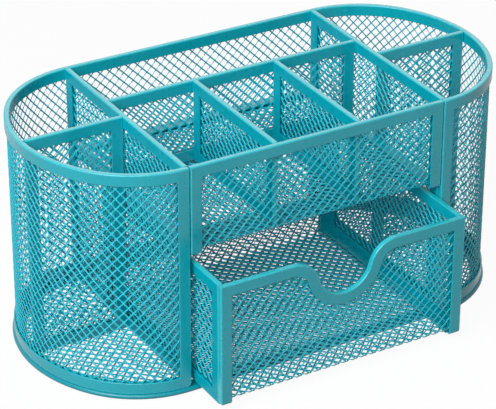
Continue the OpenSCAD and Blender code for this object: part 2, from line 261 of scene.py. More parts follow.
@dataclass(frozen=True)
class WallPlan:
    """Plan of the oval wall's outer face, from the right front post round to the left one.

    Stations closer than merge to an end of the wall are left out.
    """

    half_bay: float = 61.3
    half_depth: float = 54.5
    corner_r: float = 45.0
    reach: float = 48.0
    post_x: float = 60.5
    middle_y: float = 10.25
    merge: float = 0.3
    legs: list[Leg] = field(default_factory=list)

    def __post_init__(self) -> None:
        """Works out the bow that joins the corner arcs, and the legs of the plan."""
        side = self.half_depth - self.corner_r
        bow = (self.reach**2 + side**2 - self.corner_r**2) / (2 * (self.reach - self.corner_r))
        bow_x = self.reach - bow
        a = math.atan2(side, -bow_x)
        corner = self.corner_r * (QUARTER - a)
        lip = self.half_bay - self.post_x
        right, left = self.half_bay, -self.half_bay
        d = self.half_depth
        self.legs.extend(
            [
                Leg(lip, (self.post_x, -d), -QUARTER),
                Leg(corner, (right, -side), -QUARTER, self.corner_r),
                Leg(bow * 2 * a, (right + bow_x, 0), -a, bow),
                Leg(corner, (right, side), a, self.corner_r),
                Leg(2 * self.half_bay, (right, d), QUARTER),
                Leg(corner, (left, side), QUARTER, self.corner_r),
                Leg(bow * 2 * a, (left - bow_x, 0), math.pi - a, bow),
                Leg(corner, (left, -side), math.pi + a, self.corner_r),
                Leg(lip, (left, -d), 3 * QUARTER),
            ]
        )

    @property
    def length(self) -> float:
        """Length of the wall from post edge to post edge."""
        return sum(leg.length for leg in self.legs)

    def at(self, s: np.ndarray, out: np.ndarray) -> np.ndarray:
        """Points of the plan.

        Args:
            s: distances along the wall; past its end they run on across the front.
            out: distances outwards from its outer face.

        Returns:
            Rows of x and y.
        """
        xy = np.zeros((len(s), 2))
        start = 0.0
        across = Leg(2 * self.post_x, (-self.post_x, -self.half_depth), 3 * QUARTER)
        legs = [*self.legs, across]
        for i, leg in enumerate(legs):
            on = (s >= start) if i else np.ones(len(s), bool)
            t = s[on] - start
            if leg.radius:
                a = leg.turn + t / leg.radius
                r = leg.radius + out[on]
                xy[on, 0] = leg.start[0] + r * np.cos(a)
                xy[on, 1] = leg.start[1] + r * np.sin(a)
            else:
                c, n = math.cos(leg.turn), math.sin(leg.turn)
                xy[on, 0] = leg.start[0] - t * n + out[on] * c
                xy[on, 1] = leg.start[1] + t * c + out[on] * n
            start += leg.length
        return xy + [0, self.middle_y]

    def outline(self, out: float, step: float) -> np.ndarray:
        """The closed plan at a distance out of the outer face, anticlockwise from above."""
        s = self.stations(0.0, self.length, step)
        return self.at(s, np.full(len(s), out))

    def stations(self, start: float, end: float, step: float) -> np.ndarray:
        """Distances along the wall, close together where it is round.

        Args:
            start: first distance.
            end: last distance.
            step: greatest distance between two stations of a round leg.

        Returns:
            The distances, with start and end among them.
        """
        found = [start]
        at = 0.0
        for leg in self.legs:
            n = max(1, math.ceil(leg.length / step)) if leg.radius else 1
            found += [at + leg.length * i / n for i in range(n)]
            at += leg.length
        inner = sorted(x for x in found if start + self.merge < x < end - self.merge)
        return np.array([start, *inner, end])


@dataclass(frozen=True)
class WallSurface:
    """The wall laid out flat: u along its outer face from the middle of the back, v the height.

    squeeze is how much the round ends draw the sheet together along the wall.
    """

    plan: WallPlan
    half_thick: float
    squeeze: float = 1.0

    @property
    def end(self) -> float:
        """Value of u at the wall's two ends."""
        flat = self.plan.half_bay
        return flat + (self.plan.length / 2 - flat) / self.squeeze

    def lay(self, uvb: np.ndarray) -> np.ndarray:
        """Places points on the wall."""
        u, v, b = uvb.T
        flat = self.plan.half_bay
        round_part = np.maximum(np.abs(u) - flat, 0)
        along = np.sign(u) * (np.minimum(np.abs(u), flat) + round_part * self.squeeze)
        xy = self.plan.at(self.plan.length / 2 + along, b - self.half_thick)
        return np.column_stack([xy, v])


# ---- folded strips ----


@dataclass(frozen=True)
class Station:
    """A place on a strip's outer edge, and where a point one millimetre in from it goes.

    flat scales the thickness there, and inset draws the outer edge in by a distance.
    """

    at: Pair
    inward: Pair
    flat: float = 1.0
    inset: float = 0.0


class StripPath:
    """Stations along the outer edge of a strip, with the panel on the left of its way."""

    ROUND_STEPS = 6
    THINNEST = 0.3

    def __init__(self, wide: float) -> None:
        """Starts an empty path for a strip of a width."""
        self.wide = wide
        self.stations: list[Station] = []

    def edge(self, u: float, v: float, inward: Pair) -> "StripPath":
        """Adds a station of a straight edge or a sharp corner."""
        self.stations.append(Station((u, v), inward))
        return self

    def arch(self, w: float, h: float) -> "StripPath":
        """Adds the right side, the top and the left side of a panel that is open below."""
        self.edge(w, 0, (-1, 0)).edge(w, h, (-1, -1))
        return self.edge(0, h, (1, -1)).edge(0, 0, (1, 0))

    def corner(self, u: float, v: float, inward: Pair, radius: float) -> "StripPath":
        """Adds a square corner whose outer edge is rounded and whose inner edge is sharp.

        Args:
            u: distance along of the corner.
            v: distance up of the corner.
            inward: signs of the two ways in.
            radius: outer radius.

        Returns:
            The path itself.
        """
        su, sv = inward
        inner = (u + su * self.wide, v + sv * self.wide)
        middle = (u + su * radius, v + sv * radius)
        first = math.atan2(-sv, -su) - QUARTER / 2
        rim: list[Pair] = []
        for i in range(self.ROUND_STEPS + 1):
            t = first + QUARTER * i / self.ROUND_STEPS
            rim.append((middle[0] + radius * math.cos(t), middle[1] + radius * math.sin(t)))
        before, after = (self._foot(end, inner, (u, v)) for end in (rim[0], rim[-1]))
        for p in (before, *rim, after):
            way = ((inner[0] - p[0]) / self.wide, (inner[1] - p[1]) / self.wide)
            self.stations.append(Station(p, way))
        return self

    @staticmethod
    def _foot(end: Pair, inner: Pair, corner: Pair) -> Pair:
        """Point square to the inner corner, on the outer edge where a rounded corner ends."""
        level = abs(end[0] - corner[0]) > abs(end[1] - corner[1])
        return (inner[0], corner[1]) if level else (corner[0], inner[1])

    def arc(
        self, centre: Pair, radius: float, start: float, end: float, steps: int
    ) -> "StripPath":
        """Adds a round length of the edge.

        Args:
            centre: middle of the arc.
            radius: radius of the outer edge.
            start: first angle in radians.
            end: last angle; past the first where the panel lies inside the arc.
            steps: number of steps.

        Returns:
            The path itself.
        """
        side = 1.0 if end > start else -1.0
        for i in range(steps + 1):
            a = start + (end - start) * i / steps
            c, s = math.cos(a), math.sin(a)
            at = (centre[0] + radius * c, centre[1] + radius * s)
            self.stations.append(Station(at, (-side * c, -side * s)))
        return self

    def open_ends(self, thick: float, corner: float) -> "StripPath":
        """Rounds the two open ends of the path.

        Args:
            thick: radius of the rounding through the thickness.
            corner: radius of the outer corner of an end.

        Returns:
            The path itself.
        """
        start = self._end_ring(self.stations[0], -1.0, thick, corner)
        end = self._end_ring(self.stations[-1], 1.0, thick, corner)
        self.stations = start[::-1] + self.stations[1:-1] + end
        return self

    def _end_ring(self, base: Station, side: float, thick: float, corner: float) -> list[Station]:
        """Stations that round an end of the path.

        Args:
            base: station at the end.
            side: 1 for the end of the path, -1 for its start.
            thick: radius of the rounding through the thickness.
            corner: radius of the outer corner.

        Returns:
            The stations, the last of them at the very end.
        """
        way = (side * base.inward[1], -side * base.inward[0])
        length = max(thick, corner)
        ring: list[Station] = []
        for i in range(self.ROUND_STEPS + 1):
            k = length * math.sin(QUARTER * i / self.ROUND_STEPS)
            flat = max(self._round(k, length, thick), self.THINNEST)
            inset = corner * (1 - self._round(k, length, corner))
            at = (base.at[0] + way[0] * (k - length), base.at[1] + way[1] * (k - length))
            ring.append(Station(at, base.inward, flat, inset))
        return ring

    @staticmethod
    def _round(k: float, length: float, radius: float) -> float:
        """Height of a rounding of a radius at k of the length that ends in it."""
        x = max(0.0, (k - length + radius) / radius)
        return math.sqrt(max(0.0, 1 - x * x))


class FoldedStrip:
    """Makes the folded strip that holds the edge of a sheet.

    The first ROUND points of the section, and as many at its end, lie on its outer edge.
    """

    EDGE_STEPS = 5
    LIP_STEPS = 4
    ROUND = EDGE_STEPS + 3
    OUTER_FLAT = 0.8

    def __init__(self, sizes: StripSizes) -> None:
        """Keeps the sizes and works out the section."""
        self.sizes = sizes
        self.section = self._section()

    def _section(self) -> np.ndarray:
        """Section as rows of distance in from the outer edge and height over the middle."""
        s = self.sizes
        half, r, lip, sh = s.thick / 2, s.edge_round, s.lip_round, s.shoulder
        upper: list[Pair] = [(0.0, 0.0), (0.0, (half - r) * self.OUTER_FLAT)]
        for i in range(self.EDGE_STEPS + 1):
            a = math.pi - QUARTER * i / self.EDGE_STEPS
            upper.append((r + r * math.cos(a), half - r + r * math.sin(a)))
        upper += [(r + sh, half), (s.wide - lip - sh, half)]
        for i in range(self.LIP_STEPS + 1):
            a = QUARTER - QUARTER * i / self.LIP_STEPS
            upper.append((s.wide - lip + lip * math.cos(a), half - lip + lip * math.sin(a)))
        upper += [(s.wide - s.mouth, s.slot / 2), (s.wide - s.slot_deep, s.slot / 2)]
        lower = [(d, -b) for d, b in reversed(upper[1:])]
        return np.array(upper + lower)

    def sweep(
        self, path: StripPath, closed: bool, surface: Surface
    ) -> tuple[np.ndarray, list[tuple[int, ...]]]:
        """Sweeps the section along a path.

        Args:
            path: stations of the outer edge.
            closed: True if the last station joins the first.
            surface: where the strip lies.

        Returns:
            Points in millimetres, and faces.
        """
        sec = self.section
        n, m = len(sec), len(path.stations)
        rows = []
        for st in path.stations:
            d = st.inset + sec[:, 0] * (self.sizes.wide - st.inset) / self.sizes.wide
            u = st.at[0] + st.inward[0] * d
            v = st.at[1] + st.inward[1] * d
            rows.append(np.stack([u, v, sec[:, 1] * st.flat], axis=1))
        points = surface.lay(np.concatenate(rows))
        faces: list[tuple[int, ...]] = []
        for i in range(m if closed else m - 1):
            a, b = i * n, (i + 1) % m * n
            for j in range(n):
                k = (j + 1) % n
                faces.append((a + j, a + k, b + k, b + j))
        if not closed:
            faces.append(tuple(range(n - 1, -1, -1)))
            faces.append(tuple((m - 1) * n + j for j in range(n)))
        return points, faces

    def edges(self, faces: Sequence[Sequence[int]]) -> list[bool]:
        """Says which faces of a swept strip belong to its rounded outer edge, which takes the
        painted highlight.
        """
        n = len(self.section)
        rim = [j < self.ROUND or j >= n - self.ROUND for j in range(n)]
        return [len(f) > 4 or rim[f[0] % n] for f in faces]


# ---- diamond sheets ----


def reach_inside(points: np.ndarray, polygon: np.ndarray) -> np.ndarray:
    """Distance of points inside a polygon, negative outside.

    Args:
        points: rows of u and v.
        polygon: rows of u and v, closed by itself.

    Returns:
        One distance for each point.
    """
    best = np.full(len(points), np.inf)
    inside = np.zeros(len(points), bool)
    for a, b in zip(polygon, np.roll(polygon, -1, axis=0)):
        way = b - a
        t = np.clip((points - a) @ way / max(way @ way, 1e-12), 0, 1)
        gap = points - a - t[:, None] * way
        best = np.minimum(best, np.hypot(gap[:, 0], gap[:, 1]))
        if a[1] != b[1]:
            cross = (a[1] > points[:, 1]) != (b[1] > points[:, 1])
            x = a[0] + (points[:, 1] - a[1]) * way[0] / way[1]
            inside ^= cross & (points[:, 0] < x)
    return np.where(inside, best, -best)


class DiamondSheet:
    """Makes expanded sheet: a lattice of diamonds between flat strands that lean out of it.

    RING holds the eight points round a diamond, in quarters of its width.
    """

    RING = np.array([(2, 0), (1, 1), (0, 2), (-1, 1), (-2, 0), (-1, -1), (0, -2), (1, -1)])
    MARGIN = 2

    def __init__(self, sizes: WireSizes, knee: float = -FAR, under: WireSizes = LEVEL_WIRE) -> None:
        """Keeps the sizes of the sheet.

        Args:
            sizes: diamond and strand.
            knee: value of v under which the strands have other sizes.
            under: those sizes.
        """
        self.sizes = sizes
        self.knee = knee
        self.under = under

    def weave(
        self,
        window: np.ndarray,
        surface: Surface,
        phase: Pair,
        limit: Callable[[np.ndarray], np.ndarray] | None = None,
    ) -> tuple[np.ndarray, np.ndarray]:
        """Fills a window with diamonds.

        Args:
            window: polygon of the visible opening.
            surface: where the sheet lies.
            phase: place of one diamond's middle.
            limit: moves points that would stand past the sheet's edge.

        Returns:
            Points in millimetres, and four-sided faces.
        """
        half = self.sizes.across / 2
        cells = self._cells(window, phase)

        # The strands' middle lines run through these points, which neighbours share
        keys = (cells[:, None, :] * 2 + self.RING[None]).reshape(-1, 2)
        shared, index = np.unique(keys, axis=0, return_inverse=True)
        line = shared * half / 2 + phase
        _, _, skin_up, skin_out = self._ribbon(line[:, 1])
        shift = np.column_stack([np.zeros(len(shared)), skin_up * math.sqrt(2)])
        outer, inner, outer_level, inner_level = self._holes(cells * half + phase)
        flat = np.concatenate([line + shift, line - shift, outer, inner])
        if limit is not None:
            flat = limit(flat)
        level = np.concatenate([skin_out, -skin_out, outer_level, inner_level])
        points = surface.lay(np.column_stack([flat, level]))
        return points, self._faces(index.reshape(-1, len(self.RING)), len(shared))

    def _cells(self, window: np.ndarray, phase: Pair) -> np.ndarray:
        """Picks the diamonds whose middles lie in a window or at most the reach past it.

        Args:
            window: polygon of the visible opening.
            phase: place of one diamond's middle.

        Returns:
            Rows of whole numbers of half diamonds along and up.
        """
        half = self.sizes.across / 2
        lo = np.floor((window.min(axis=0) - phase) / half).astype(int) - self.MARGIN
        hi = np.ceil((window.max(axis=0) - phase) / half).astype(int) + self.MARGIN
        spans = [np.arange(a, b + 1) for a, b in zip(lo, hi)]
        i, j = np.meshgrid(*spans, indexing="ij")
        cells = np.stack([i.ravel(), j.ravel()], axis=1)
        cells = cells[(cells.sum(axis=1) % 2) == 0]
        return cells[reach_inside(cells * half + phase, window) > -self.sizes.reach]

    def _faces(self, top: np.ndarray, count: int) -> np.ndarray:
        """Joins the points of weave into closed strands.

        Args:
            top: for each diamond, its points on the outer skin of the middle lines.
            count: number of points on that skin.

        Returns:
            Four-sided faces.
        """
        total = top.size
        low = top + count
        over = 2 * count + np.arange(total).reshape(top.shape)
        back = over + total
        nxt = np.roll(np.arange(top.shape[1]), -1)
        upper = np.stack([top, top[:, nxt], over[:, nxt], over], axis=2).reshape(-1, 4)
        lower = np.stack([low[:, nxt], low, back, back[:, nxt]], axis=2).reshape(-1, 4)
        walls = np.stack([over, over[:, nxt], back[:, nxt], back], axis=2).reshape(-1, 4)

        # Edges that only one diamond has are the sheet's border
        ends = np.stack([top, top[:, nxt]], axis=2).reshape(-1, 2)
        order = np.sort(ends, axis=1)
        _, where, times = np.unique(order, axis=0, return_inverse=True, return_counts=True)
        start, end = ends[times[where.ravel()] == 1].T
        rims = np.stack([end, start, start + count, end + count], axis=1)
        return np.concatenate([upper, lower, walls, rims])

    def _holes(self, middles: np.ndarray) -> tuple[np.ndarray, ...]:
        """Rims of the holes: each has eight points on the outer skin and eight on the inner.

        Args:
            middles: middles of the holes.

        Returns:
            Places of the outer and of the inner points, then their heights.
        """
        half = self.sizes.across / 2
        wide, rise, skin_up, skin_out = (k[:, None] for k in self._ribbon(middles[:, 1]))
        way = self.RING / 2
        side = np.sign(way[:, 1])[None, :]
        bond = self.sizes.bond * (side == 0)
        found = []
        for skin in (1, -1):
            reach = half - (wide - skin * side * skin_up) * math.sqrt(2) - bond
            found.append((middles[:, None, :] + way[None] * reach[:, :, None]).reshape(-1, 2))
        levels = [(side * rise + skin * skin_out).ravel() for skin in (1, -1)]
        return found[0], found[1], levels[0], levels[1]

    def _ribbon(self, v: np.ndarray) -> tuple[np.ndarray, ...]:
        """Section of the ribbons at heights of the sheet.

        Args:
            v: heights.

        Returns:
            Half the ribbon's width in the sheet and out of it, and half its gauge in the same
            two ways.
        """
        rows = []
        for s in (self.sizes, self.under):
            lean = math.radians(s.lean)
            run, rise = math.cos(lean) / 2, math.sin(lean) / 2
            rows.append((s.ribbon * run, s.ribbon * rise, s.gauge * rise, s.gauge * run))
        return tuple(np.where(v < self.knee, low, high) for high, low in zip(*rows))


# ---- finishes ----


WHITE = (1, 1, 1, 1)


def add_node(
    tree: bpy.types.NodeTree, kind: str, **inputs: float | tuple | bpy.types.NodeSocket
) -> bpy.types.Node:
    """Adds a node and fills its inputs.

    Args:
        tree: where the node goes.
        kind: type of the node.
        inputs: a value or a socket for each input, with _ for a space in its name.

    Returns:
        The node.
    """
    node = tree.nodes.new(kind)
    for name, value in inputs.items():
        socket = node.inputs[name.replace("_", " ")]
        if isinstance(value, bpy.types.NodeSocket):
            tree.links.new(value, socket)
        else:
            socket.default_value = value
    return node


def mix_shaders(
    tree: bpy.types.NodeTree,
    share: bpy.types.NodeSocket,
    first: bpy.types.Node,
    second: bpy.types.Node,
) -> bpy.types.NodeSocket:
    """Mixes two shader nodes.

    Args:
        tree: where the mix goes.
        share: share of the second shader.
        first: one shader.
        second: the other one.

    Returns:
        The mixed shader.
    """
    mix = add_node(tree, "ShaderNodeMixShader", Fac=share)
    for place, shader in ((1, first), (2, second)):
        tree.links.new(shader.outputs[0], mix.inputs[place])
    return mix.outputs["Shader"]


@dataclass(frozen=True)
class PowderCoat:
    """Baked powder coat: a soft gloss over a fine orange peel, with sizes in millimetres.

    LOW and HIGH are the values between which the noise mostly lies.
    """

    name: str
    colour: Triple
    gloss: float
    pale: float = 1.03
    dark: float = 0.97
    rough_low: float = 0.22
    rough_high: float = 0.32
    drift_size: float = 20.0
    patch_size: float = 6.0
    peel_size: float = 0.9
    peel_height: float = 0.004
    grain_size: float = 0.18
    grain_height: float = 0.0015
    LOW: ClassVar[float] = 0.35
    HIGH: ClassVar[float] = 0.65

    def material(self) -> bpy.types.Material:
        """Builds the node material.

        Returns:
            The material, or the one already made under its name.
        """
        if self.name in bpy.data.materials:
            return bpy.data.materials[self.name]
        mat = bpy.data.materials.new(self.name)
        mat.use_nodes = True
        tree = mat.node_tree
        shader = tree.nodes["Principled BSDF"]
        shader.inputs["Metallic"].default_value = 0.0
        shader.inputs["Specular IOR Level"].default_value = self.gloss
        coords = tree.nodes.new("ShaderNodeTexCoord").outputs["Object"]

        drift = self._noise(tree, coords, self.drift_size, 3.0)
        tone = add_node(tree, "ShaderNodeValToRGB", Fac=drift)
        marks = ((self.LOW, self.dark), (self.HIGH, self.pale))
        for mark, (position, shade) in zip(tone.color_ramp.elements, marks):
            mark.position = position
            mark.color = (*(c * shade for c in self.colour), 1)
        tree.links.new(tone.outputs["Color"], shader.inputs["Base Color"])

        patch = self._noise(tree, coords, self.patch_size, 4.0)
        rough = add_node(tree, "ShaderNodeMapRange", Value=patch, From_Min=self.LOW)
        rough.inputs["From Max"].default_value = self.HIGH
        rough.inputs["To Min"].default_value = self.rough_low
        rough.inputs["To Max"].default_value = self.rough_high
        tree.links.new(rough.outputs["Result"], shader.inputs["Roughness"])

        peel = self._noise(tree, coords, self.peel_size, 2.0)
        grain = self._noise(tree, coords, self.grain_size, 1.0)
        low = add_node(tree, "ShaderNodeBump", Height=peel, Distance=self.peel_height * MM)
        high = add_node(tree, "ShaderNodeBump", Height=grain, Distance=self.grain_height * MM)
        tree.links.new(low.outputs["Normal"], high.inputs["Normal"])
        tree.links.new(high.outputs["Normal"], shader.inputs["Normal"])
        return mat

    @staticmethod
    def _noise(
        tree: bpy.types.NodeTree, coords: bpy.types.NodeSocket, size: float, detail: float
    ) -> bpy.types.NodeSocket:
        """Adds noise whose patches are about size millimetres across."""
        scale = 1 / (size * MM)
        node = add_node(tree, "ShaderNodeTexNoise", Vector=coords, Scale=scale, Detail=detail)
        return node.outputs["Fac"]


# The stand has one powder coat all over. STRIP_COAT is that coat; the copies below change its
# colour or gloss only to paint light and shade.
STRIP_COAT = PowderCoat("coat_on_strips", (0.001, 0.37, 0.45), 0.6)
# Copy of the coat with almost no gloss for the strips of panels that face sideways: painted shade
# that takes the reflection off those faces.
SIDE_STRIP_SHADE_COAT = PowderCoat("coat_on_shaded_strips", (0.001, 0.38, 0.48), 0.06)
# Paler, glossier copy of the coat for the strips' rounded outer edges: a painted highlight where
# light from above catches them.
EDGE_HIGHLIGHT_COAT = PowderCoat("coat_on_edges", (0.01, 0.48, 0.56), 0.7)
# Paler copy of the coat for the diamond sheets: painted light for the brighter look of the strands.
WIRE_LIT_COAT = PowderCoat(
    "coat_on_wire_painted_light", (0.001, 0.45, 0.56), 0.55, rough_low=0.20, rough_high=0.28
)
# Darker copy of the coat for the base ring: painted shade at the foot of the stand.
BASE_SHADE_COAT = PowderCoat("coat_on_base_painted_shade", (0.001, 0.27, 0.335), 0.42)


# ---- pieces ----


class Workshop:
    """Turns points and faces into pieces of the scene and hands them to the frame."""

    WELD_WITHIN = 1e-7

    def piece(
        self,
        name: str,
        points: np.ndarray,
        faces: Sequence[Sequence[int]] | np.ndarray,
        coat: PowderCoat,
        body: Body,
        nodes: Sequence[str],
        crease: float = 60.0,
        weld: bool = False,
        edges: Sequence[bool] = (),
    ) -> None:
        """Makes one piece.

        Args:
            name: name of the piece.
            points: millimetres.
            faces: corners of each face.
            coat: its finish.
            body: the body that it rides on.
            nodes: frame nodes that it stands for.
            crease: angle in degrees over which an edge stays sharp.
            weld: True to join points that lie on each other.
            edges: for each face, whether it belongs to a strip's rounded edge, which gets the
                paler, glossier coat of a painted highlight.
        """
        mesh = bpy.data.meshes.new(name)
        mesh.from_pydata((points * MM).tolist(), [], [tuple(f) for f in faces])
        mesh.materials.append(coat.material())
        if edges:
            # Rounded edge faces take the copy of the coat that paints their highlight.
            mesh.materials.append(EDGE_HIGHLIGHT_COAT.material())
            mesh.polygons.foreach_set("material_index", np.array(edges, np.int32))
        if weld:
            work = bmesh.new()
            work.from_mesh(mesh)
            bmesh.ops.remove_doubles(work, verts=work.verts, dist=self.WELD_WITHIN)
            work.to_mesh(mesh)
            work.free()
        mesh.validate()
        mesh.shade_smooth()
        mesh.set_sharp_from_angle(angle=math.radians(crease))
        piece = bpy.data.objects.new(name, mesh)
        bpy.context.scene.collection.objects.link(piece)
        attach(piece, body.value)
        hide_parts(*nodes)
        LOG.info("%s: %d faces, for %s", name, len(mesh.polygons), ", ".join(nodes))

    def strip(
        self,
        name: str,
        sizes: StripSizes,
        path: StripPath,
        surface: Surface,
        body: Body,
        nodes: Sequence[str],
        closed: bool = False,
        coat: PowderCoat = STRIP_COAT,
    ) -> None:
        """Makes one folded strip.

        Args:
            name: name of the piece.
            sizes: section of the strip.
            path: stations of its outer edge.
            surface: where it lies.
            body: the body that it rides on.
            nodes: frame nodes that it stands for.
            closed: True if it runs all round.
            coat: finish of its flat sides.
        """
        maker = FoldedStrip(sizes)
        points, faces = maker.sweep(path, closed, surface)
        edges = maker.edges(faces)
        self.piece(name, points, faces, coat, body, nodes, STRIP_CREASE, True, edges)


def box_window(u0: float, u1: float, v0: float, v1: float) -> np.ndarray:
    """A box as a polygon, anticlockwise."""
    return np.array([(u0, v0), (u1, v0), (u1, v1), (u0, v1)], float)


@dataclass(frozen=True)
class Panel:
    """An upright flat panel: a folded strip round a diamond sheet."""

    name: str
    facing: Facing
    body: Body = Body.STAND
    strip: StripSizes = StripSizes()

    def build(self, shop: Workshop) -> None:
        """Builds the panel's strip and its sheet.

        Args:
            shop: makes the pieces.
        """
        node = f"{self.name}_frame"
        room = Room.of(node)
        surface = FlatSurface.in_room(room, self.facing)
        sideways = self.facing is Facing.SIDE
        w, h = room.length(1 if sideways else 0), room.length(2)
        path = StripPath(self.strip.wide)
        for u, v, way in ((0, 0, (1, 1)), (w, 0, (-1, 1)), (w, h, (-1, -1)), (0, h, (1, -1))):
            path.edge(u, v, way)
        # Panels that face sideways get the copy of the coat that paints shade over their
        # reflection.
        coat = SIDE_STRIP_SHADE_COAT if sideways else STRIP_COAT
        shop.strip(f"{self.name}_strip", self.strip, path, surface, self.body, [node], True, coat)

        wide = self.strip.wide
        window = box_window(wide, w - wide, wide, h - wide)
        wire = SIDE_WIRE if sideways else CROSSWAYS_WIRE
        points, quads = DiamondSheet(wire).weave(window, surface, (w / 2, h / 2))
        shop.piece(f"{self.name}_wire", points, quads, WIRE_LIT_COAT, self.body, [f"{self.name}_mesh"])


@dataclass(frozen=True)
class Base:
    """The ring that the stand rests on, and the sheet over it.

    The ring's inner edge has a bevel in two steps, of which nick is the middle one. Its flats
    end flat_low and flat_high in from the wall.
    """

    plan: WallPlan
    lip: float = 0.8
    wide: float = 5.2
    thick: float = 2.3
    bevel: float = 0.3
    nick: float = 0.09
    flat_low: float = 1.0
    flat_high: float = 1.2
    bead_steps: int = 12
    ring_step: float = 2.5
    sheet_inset: float = 2.75
    sheet_half: float = 0.4
    sheet_step: float = 1.5
    trim_passes: int = 6

    def section(self) -> list[Pair]:
        """Section of the ring: rounded outer bead, bevelled inner edge."""
        r, top, inner = self.thick / 2, self.thick, -self.wide
        rows = [(inner + self.bevel, 0.0), (-self.flat_low, 0.0)]
        for i in range(self.bead_steps + 1):
            a = -QUARTER + math.pi * i / self.bead_steps
            rows.append((self.lip - r + r * math.cos(a), r + r * math.sin(a)))
        rows += [(-self.flat_high, top), (inner + self.bevel, top)]
        rows += [(inner + self.nick, top - self.nick), (inner, top - self.bevel)]
        rows += [(inner, self.bevel), (inner + self.nick, self.nick)]
        return rows

    def build(self, shop: Workshop) -> None:
        """Builds the ring and its sheet.

        Args:
            shop: makes the pieces.
        """
        rows = self.section()
        s = self.plan.stations(0.0, self.plan.length, self.ring_step)
        n, m = len(rows), len(s)
        points = np.zeros((m * n, 3))
        for j, (out, z) in enumerate(rows):
            points[j::n, :2] = self.plan.at(s, np.full(m, out))
            points[j::n, 2] = z
        faces = []
        for i in range(m):
            a, b = i * n, (i + 1) % m * n
            faces += [(a + j, b + j, b + (j + 1) % n, a + (j + 1) % n) for j in range(n)]
        node = ["base_ring"]
        # The ring takes the darker copy of the coat, painted shade at the foot.
        shop.piece(
            "base_ring_bead", points, faces, BASE_SHADE_COAT, Body.STAND, node, STRIP_CREASE, True
        )

        level = self.thick + self.sheet_half
        surface = FlatSurface((0, 0, level), (1, 0, 0), (0, 1, 0), (0, 0, 1))
        window = self.plan.outline(-self.wide, self.sheet_step)
        phase = (0.0, self.plan.middle_y)
        points, quads = DiamondSheet(LEVEL_WIRE).weave(window, surface, phase, self.trim)
        shop.piece("base_wire", points, quads, WIRE_LIT_COAT, Body.STAND, ["base_mesh"])

    def trim(self, flat: np.ndarray) -> np.ndarray:
        """Draws points past the sheet's edge back to it, towards the nearest arc's middle.

        Args:
            flat: rows of x and y.

        Returns:
            The rows, none of them past the edge.
        """
        edge = self.plan.outline(-self.sheet_inset, self.sheet_step)
        moved = flat.copy()
        for _ in range(self.trim_passes):
            over = -reach_inside(moved, edge)
            out = over > 0
            x, y = moved[out].T
            past_bay = np.maximum(np.abs(x) - self.plan.half_bay, 0)
            way = np.column_stack([-np.sign(x) * past_bay, self.plan.middle_y - y])
            way /= np.maximum(np.hypot(way[:, 0], way[:, 1]), 1e-9)[:, None]
            moved[out] += way * over[out, None]
        return moved


@dataclass(frozen=True)
class OuterWall:
    """The oval wall: one sheet in one strip that runs along the rim, posts and foot.

    squeeze narrows the diamonds of the round ends, where the sheet is drawn together.
    """

    plan: WallPlan
    foot_z: float = 2.3
    rim_z: float = 104.0
    foot_corner: float = 2.0
    rim_corner: float = 0.5
    squeeze: float = 0.925
    step: float = 2.5
    strip: StripSizes = StripSizes()

    def build(self, shop: Workshop) -> None:
        """Builds the strip and the sheet of the wall.

        Args:
            shop: makes the pieces.
        """
        surface = WallSurface(self.plan, self.strip.thick / 2)
        wide, end = self.strip.wide, surface.end
        inner = self.plan.stations(wide, self.plan.length - wide, self.step)[1:-1] - end
        path = StripPath(wide)
        path.corner(-end, self.foot_z, (1, 1), self.foot_corner)
        for s in inner:
            path.edge(float(s), self.foot_z, (0, 1))
        path.corner(end, self.foot_z, (-1, 1), self.foot_corner)
        path.corner(end, self.rim_z, (-1, -1), self.rim_corner)
        for s in inner[::-1]:
            path.edge(float(s), self.rim_z, (0, -1))
        path.corner(-end, self.rim_z, (1, -1), self.rim_corner)
        nodes = ["top_rim_left", "top_rim_back", "top_rim_right", "bottom_band"]
        nodes += ["left_front_post", "right_front_post"]
        shop.strip("wall_strip", self.strip, path, surface, Body.STAND, nodes, True)

        surface = WallSurface(self.plan, self.strip.thick / 2, self.squeeze)
        last = surface.end - wide
        window = box_window(-last, last, self.foot_z + wide, self.rim_z - wide)
        points, quads = DiamondSheet(WALL_WIRE).weave(window, surface, (0.0, self.rim_z))
        nodes = [
            "left_end_front_mesh",
            "left_end_back_mesh",
            "back_wall_mesh",
            "right_end_back_mesh",
            "right_end_front_mesh",
        ]
        shop.piece("wall_wire", points, quads, WIRE_LIT_COAT, Body.STAND, nodes)


@dataclass(frozen=True)
class TrayDeck:
    """The tray front and the shelf behind it: one sheet bent under, in two strips."""

    strip: StripSizes = StripSizes()
    bend: float = 1.6
    end_round: float = 1.2
    corner: float = 0.6

    def build(self, shop: Workshop) -> None:
        """Builds the front strip, the shelf strip and the bent sheet.

        Args:
            shop: makes the pieces.
        """
        front = Room.of("tray_front_frame")
        shelf = Room.of("shelf_frame")
        w, wide = front.length(0), self.strip.wide
        path = StripPath(wide).arch(w, front.length(2)).open_ends(self.end_round, self.corner)
        plane = FlatSurface.in_room(front, Facing.FRONT)
        shop.strip("tray_front_strip", self.strip, path, plane, Body.STAND, ["tray_front_frame"])

        path = StripPath(wide).arch(w, shelf.length(1))
        plane = FlatSurface.in_room(shelf, Facing.LEVEL)
        shop.strip("shelf_strip", self.strip, path, plane, Body.STAND, ["shelf_frame"])

        surface = BentSurface(front.middle(1), shelf.middle(2), self.bend)
        low = surface.back(shelf.hi[1] - wide)
        window = box_window(front.lo[0] + wide, front.hi[0] - wide, low, front.hi[2] - wide)
        sheet = DiamondSheet(UPRIGHT_WIRE, surface.bend_end)
        points, quads = sheet.weave(window, surface, (0.0, front.hi[2]))
        nodes = ["tray_front_mesh", "shelf_mesh"]
        shop.piece("tray_wire", points, quads, WIRE_LIT_COAT, Body.STAND, nodes)


